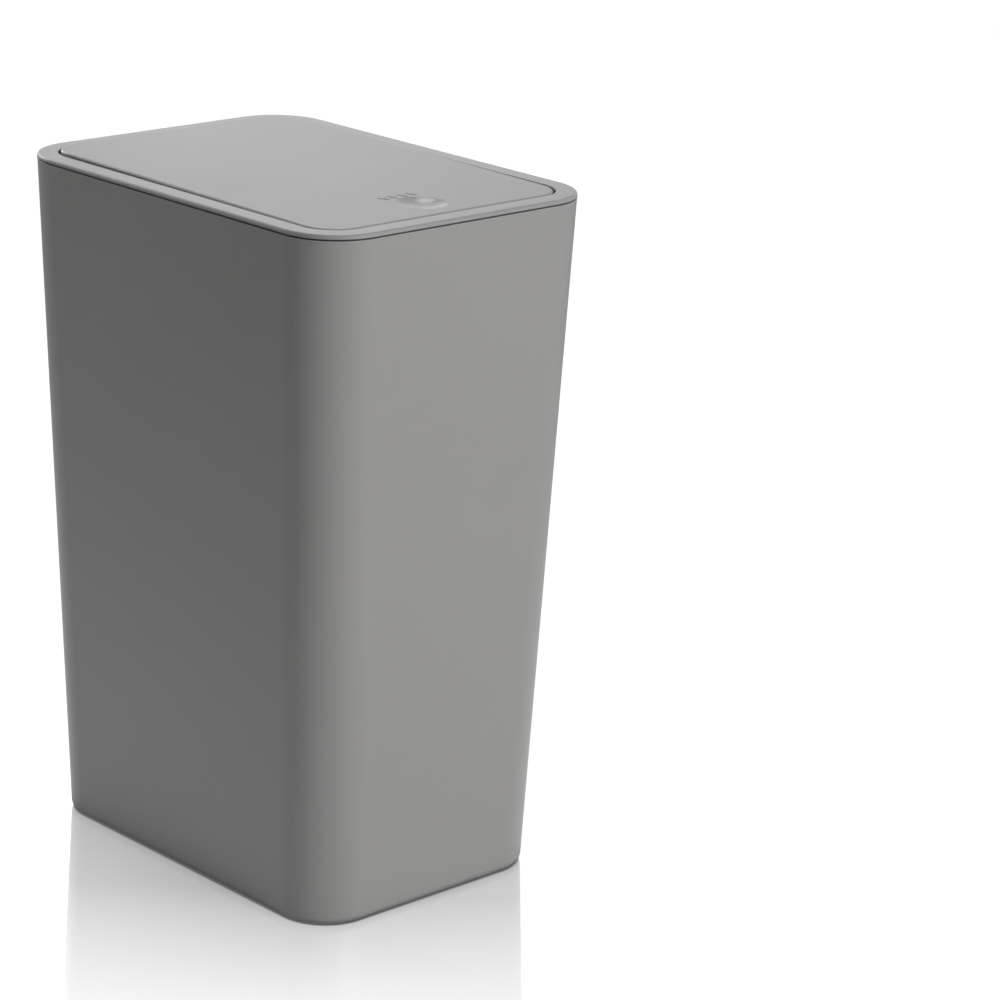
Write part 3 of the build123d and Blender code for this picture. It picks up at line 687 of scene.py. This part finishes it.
class BIN_OT_tactile_marks(bpy.types.Operator):
    """Raises a row of plain chevrons on the lid behind the finger dish"""
    bl_idname = "bin.tactile_marks"
    bl_label = "Tactile Marks"

    def execute(self, context):
        marks = context.scene.bin_marks
        places = (np.arange(marks.count) - (marks.count - 1) / 2) * marks.pitch
        parts = [closed_loft(chevron_rings(marks, x)) for x in places]
        piece = mesh_object("lid_chevrons", *join_parts(parts))
        dress_piece(piece, NODES["lid_panel"].data.materials[0])
        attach(piece, "lid")
        return {"FINISHED"}


# ---------------------------------------------------------------- stage
def camera_axes(stage):
    """Right, up and back directions of the camera, from its yaw, pitch and roll."""
    yaw, pitch = stage.yaw, stage.pitch
    back = Vector((sin(yaw) * cos(pitch), -cos(yaw) * cos(pitch), sin(pitch)))
    level_right = Vector((cos(yaw), sin(yaw), 0))
    level_up = back.cross(level_right)
    right = cos(stage.roll) * level_right + sin(stage.roll) * level_up
    up = back.cross(right)
    return right, up, back


# Name, azimuth round the bin from its front towards its right, elevation, distance, size, watts
LAMPS = (
    ("front_soft", 6, 28, 2.0, 0.7, 17.6),
    ("front_right_soft", 20, 28, 2.0, 0.7, 14.0),
    ("top_soft", -43, 80, 2.0, 0.7, 1.2),
    ("back_low", 150, 12, 2.0, 0.9, 1.1),
    ("left_soft", 240, 20, 1.2, 0.6, 1.1),
    ("back_near", 186, 30, 0.8, 0.4, 3.4),
    ("back_close", 138, 38, 0.62, 0.3, 0.24),
    ("right_near", 138, 63, 0.8, 0.2, 0.85),
)
LAMP_AIM = Vector((0, 0, 0.16))
SENSOR_MM = 36
WORLD_LIGHT = 0.045                 # strength of the world as light

FLOOR_HALF = 6.0
FLOOR_BOUNCE = 0.8                  # how much lamp light the floor throws back
FLOOR_SHADE = 0.15                  # the part of the seen floor that takes the bin's shadow
SEEN_WHITE = (0.3, 0.9, 0.93, 1.0)  # the seen floor's strength from one distance to another
# The floor's glow in a gloss is a painted pool of light: bright round the bin, dim far out
GLOSS_WHITE = (0.2, 0.9, 1.0, 0.1)  # its strength in a gloss, in the same way

# The bin's outline on the floor is FOOT_R outside the core box
FOOT_CORE, FOOT_R = (42.4 * MM, 72.7 * MM, 0), 24.1 * MM
# Painted contact shadow: inside the outline the seen floor turns dark between FOOT_DARK and FOOT_LIGHT, at
# FOOT_SHADE's strength
FOOT_DARK, FOOT_LIGHT = 1.5 * MM, 0.1 * MM      # inside the outline the seen floor turns dark between these
FOOT_SHADE = 0.11                               # strength of the dark floor
# In a gloss the floor carries a painted contact shadow: it is dimmed round the foot over FOOT_HALO, down to
# HALO_GLOSS of its strength
FOOT_HALO, HALO_GLOSS = 14 * MM, 0.1            # in a gloss the floor is dim at the foot, over this reach

MIRROR_NEAR, MIRROR_LENGTH = 0.6, 0.31          # the mirror image's weight at the foot, and where it ends
MIRROR_WAY = (0.688, 0.726, 0)                  # it also fades along this way, towards the front left
MIRROR_GONE, MIRROR_WHOLE = -0.247, -0.070


def area_lamp(name, azimuth, elevation, distance, size, watts):
    """Square lamp on a sphere round the bin, turned to its middle."""
    light = bpy.data.lights.new(name, "AREA")
    light.shape = "SQUARE"
    light.size = size
    light.energy = watts
    lamp = bpy.data.objects.new(name, light)
    bpy.context.scene.collection.objects.link(lamp)
    turn, rise = radians(azimuth), radians(elevation)
    out = Vector((sin(turn) * cos(rise), -cos(turn) * cos(rise), sin(rise)))
    lamp.location = LAMP_AIM + distance * out
    lamp.rotation_euler = (-out).to_track_quat("-Z", "Y").to_euler()
    lamp.visible_camera = False


def looking_rays(tree):
    """1 for rays that show the background: from the camera, off a gloss, or through glass."""
    rays = tree.nodes.new("ShaderNodeLightPath").outputs
    reflected = math_node(tree, "MAXIMUM", rays["Is Glossy Ray"], rays["Is Transmission Ray"])
    return rays["Is Camera Ray"], math_node(tree, "MAXIMUM", rays["Is Camera Ray"], reflected)


def mix_shaders(tree, factor, first, second):
    """The first shader where the factor is 0, and the second where it is 1."""
    node = put(tree, "ShaderNodeMixShader", Fac=factor)
    tree.links.new(first, node.inputs[1])
    tree.links.new(second, node.inputs[2])
    return node.outputs[0]


def plain_shader(tree, kind, **values):
    """The output of a white shader, or of one with these values."""
    return put(tree, kind, **({"Color": (1, 1, 1, 1)} | values)).outputs[0]


def polished_white():
    """The floor: seen as white, with the bin's faint shadow and a mirror image that fades from its foot.

    Other rays meet plain diffuse white.  The mirror image is a weight on a sharp gloss, by the distance
    from the bin's outline.  In a gloss the floor is dimmed close round the foot by a painted contact shadow,
    and its glow is a painted pool of light round the bin that grows dimmer far out.
    Inside the bin's outline the seen floor is darkened by a painted contact shadow.  From below the floor is
    clear.
    """
    material = bpy.data.materials.new("polished_white")
    tree = empty_tree(material)
    camera_ray, looking = looking_rays(tree)
    place = object_coordinates(tree)
    far = vector_node(tree, "LENGTH", place)
    beyond = distance_from(tree, place, FOOT_CORE)

    # painted contact shadow and painted pool of light on the floor as seen in a gloss
    gloss_contact_shadow = fade(tree, beyond, FOOT_R, FOOT_R + FOOT_HALO, HALO_GLOSS, 1)
    gloss_strength = math_node(tree, "MULTIPLY", fade(tree, far, *GLOSS_WHITE), gloss_contact_shadow)
    strength = put(tree, "ShaderNodeMix", data_type="FLOAT")
    tree.links.new(camera_ray, strength.inputs["Factor"])
    tree.links.new(gloss_strength, strength.inputs["A"])
    tree.links.new(fade(tree, far, *SEEN_WHITE), strength.inputs["B"])
    lit_white = tree.nodes.new("ShaderNodeAddShader")
    white = plain_shader(tree, "ShaderNodeEmission", Strength=strength.outputs["Result"])
    tree.links.new(white, lit_white.inputs[0])
    shade = plain_shader(tree, "ShaderNodeBsdfDiffuse", Color=(FLOOR_SHADE, FLOOR_SHADE, FLOOR_SHADE, 1))
    tree.links.new(shade, lit_white.inputs[1])

    along = vector_node(tree, "DOT_PRODUCT", place, MIRROR_WAY)
    near = fade(tree, beyond, FOOT_R, FOOT_R + MIRROR_LENGTH, MIRROR_NEAR, 0)
    weight = math_node(tree, "MULTIPLY", near, fade(tree, along, MIRROR_GONE, MIRROR_WHOLE, 0, 1))
    weight = math_node(tree, "MULTIPLY", weight, camera_ray)
    mirror = plain_shader(tree, "ShaderNodeBsdfGlossy", Roughness=0.0)
    seen = mix_shaders(tree, weight, lit_white.outputs[0], mirror)
    # painted contact shadow on the seen floor inside the bin's outline
    under = fade(tree, beyond, FOOT_R - FOOT_DARK, FOOT_R - FOOT_LIGHT, 1, 0)
    dark = plain_shader(tree, "ShaderNodeEmission", Strength=FOOT_SHADE)
    seen = mix_shaders(tree, math_node(tree, "MULTIPLY", under, camera_ray), seen, dark)

    bounce = plain_shader(tree, "ShaderNodeBsdfDiffuse", Color=(FLOOR_BOUNCE, FLOOR_BOUNCE, FLOOR_BOUNCE, 1))
    above = mix_shaders(tree, looking, bounce, seen)
    from_below = tree.nodes.new("ShaderNodeNewGeometry").outputs["Backfacing"]
    clear = plain_shader(tree, "ShaderNodeBsdfTransparent")
    put(tree, "ShaderNodeOutputMaterial", Surface=mix_shaders(tree, from_below, above, clear))
    return material


def studio_world():
    """White where it is seen or mirrored, and dim as light."""
    world = bpy.data.worlds.new("studio")
    tree = empty_tree(world)
    looking = looking_rays(tree)[1]
    dim = plain_shader(tree, "ShaderNodeBackground", Strength=WORLD_LIGHT)
    white = plain_shader(tree, "ShaderNodeBackground", Strength=1.0)
    put(tree, "ShaderNodeOutputWorld", Surface=mix_shaders(tree, looking, dim, white))
    return world


class BIN_OT_stage(bpy.types.Operator):
    """Lays the pale floor and sets the studio lamps, the world and the camera"""
    bl_idname = "bin.stage"
    bl_label = "Stage"

    def execute(self, context):
        stage = context.scene.bin_stage
        right, up, back = camera_axes(stage)
        camera = bpy.data.objects.new("camera", bpy.data.cameras.new("camera"))
        context.scene.collection.objects.link(camera)
        place = Vector(stage.aim) + back * stage.distance
        turn = Matrix((right, up, back)).transposed().to_4x4()
        camera.matrix_world = Matrix.Translation(place) @ turn
        camera.data.lens = stage.lens
        camera.data.sensor_width = SENSOR_MM
        context.scene.camera = camera

        corners = np.array([(-1, -1, 0), (1, -1, 0), (1, 1, 0), (-1, 1, 0)]) * FLOOR_HALF
        floor = mesh_object("floor", corners, [(0, 1, 2, 3)])
        floor.data.materials.append(polished_white())
        context.scene.world = studio_world()
        for lamp in LAMPS:
            area_lamp(*lamp)
        context.scene.view_settings.view_transform = "Standard"
        return {"FINISHED"}


class BIN_PT_panel(bpy.types.Panel):
    """Lists the steps that dress the bin"""
    bl_label = "Push Top Bin"
    bl_idname = "BIN_PT_panel"
    bl_space_type = "VIEW_3D"
    bl_region_type = "UI"
    bl_category = "Bin"

    def draw(self, context):
        for operator in OPERATORS:
            self.layout.operator(operator.bl_idname)
        for name in SETTINGS:
            group = getattr(context.scene, name)
            for key in group.__annotations__:
                self.layout.prop(group, key)


OPERATORS = (
    BIN_OT_plastics, BIN_OT_metals, BIN_OT_hinge_springs, BIN_OT_latch_spring, BIN_OT_tactile_marks,
    BIN_OT_stage,
)
SETTINGS = {
    "bin_finish": BinFinish, "bin_springs": BinSprings, "bin_marks": BinMarks, "bin_stage": BinStage,
}


def register():
    """Registers the classes and gives the scene its settings."""
    for cls in (*SETTINGS.values(), *OPERATORS, BIN_PT_panel):
        bpy.utils.register_class(cls)
    for name, cls in SETTINGS.items():
        setattr(bpy.types.Scene, name, PointerProperty(type=cls))


def unregister():
    """Takes the settings and the classes away again."""
    for name in SETTINGS:
        delattr(bpy.types.Scene, name)
    for cls in (BIN_PT_panel, *reversed(OPERATORS), *reversed(SETTINGS.values())):
        bpy.utils.unregister_class(cls)


def main():
    """Dresses the bin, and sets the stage."""
    register()
    bpy.ops.bin.plastics()
    bpy.ops.bin.metals()
    bpy.ops.bin.hinge_springs()
    bpy.ops.bin.latch_spring()
    bpy.ops.bin.tactile_marks()
    bpy.ops.bin.stage()


if __name__ == "__main__":
    main()
